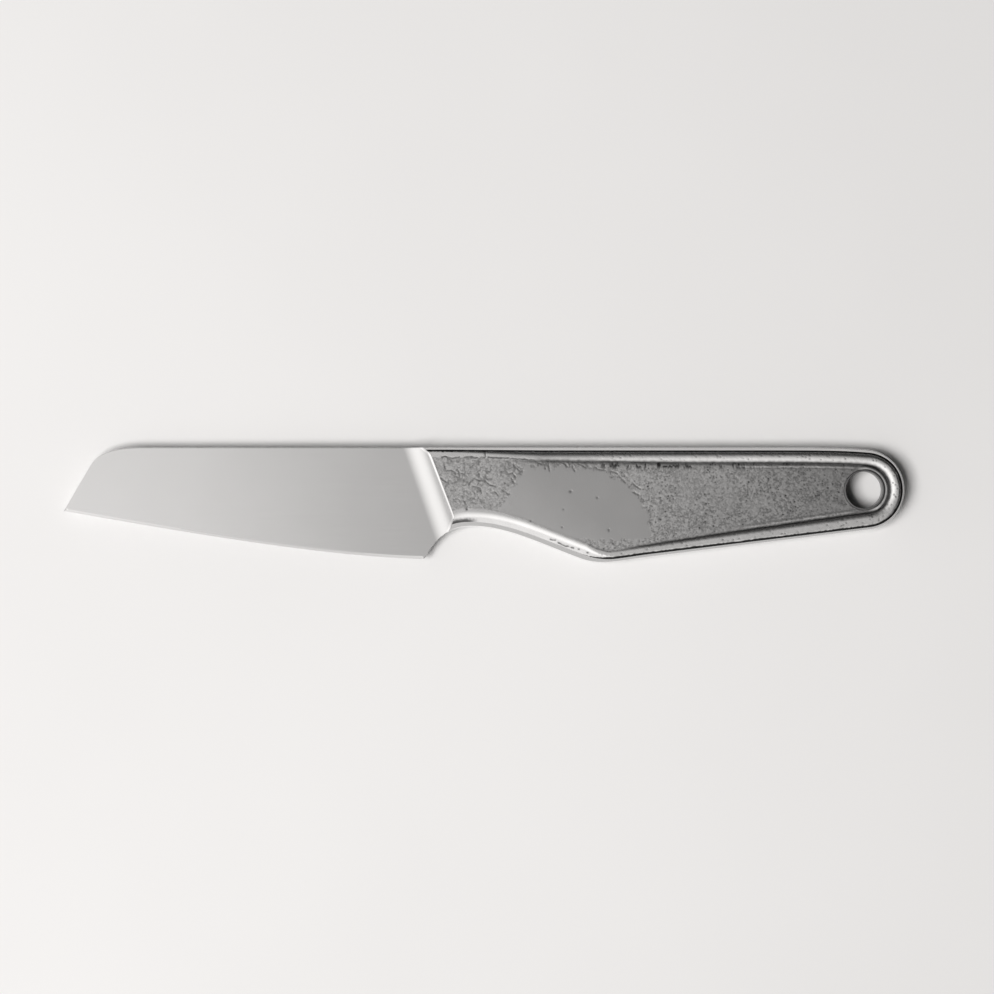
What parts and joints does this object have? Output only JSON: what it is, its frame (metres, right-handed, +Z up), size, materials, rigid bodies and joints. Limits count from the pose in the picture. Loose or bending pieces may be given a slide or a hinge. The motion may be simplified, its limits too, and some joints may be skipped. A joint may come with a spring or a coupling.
{
  "type": "fruit knife",
  "caption": "Fruit knife with a slant-tipped blade, ground bolster and full tang, and forged handle scales with a rounded rim, a finger groove and a hanging hole.",
  "frame": {"origin": "on the surface that the knife lies on, under the middle of its bounding box", "axes": "+X from the tip towards the round butt, +Y from the cutting edge towards the spine, +Z up out of the left face; the knife lies flat on its right face"},
  "size_m": [0.23, 0.0316, 0.008],
  "materials": {
    "ground_steel": "fine satin grind, bright at the bolster's sweep and along the edge",
    "forged_steel": "forged skin with cracks and small pits, polished on the rounded rim",
    "tube_steel": "satin",
    "dowel_steel": "plain, hidden"
  },
  "bodies": {
    "root": {"blade": "ground_steel", "left_scale": "forged_steel", "right_scale": "forged_steel", "hanging_hole_tube": "tube_steel", "front_dowel": "dowel_steel", "spine_dowel": "dowel_steel", "belly_dowel": "dowel_steel"}
  },
  "joints": []
}
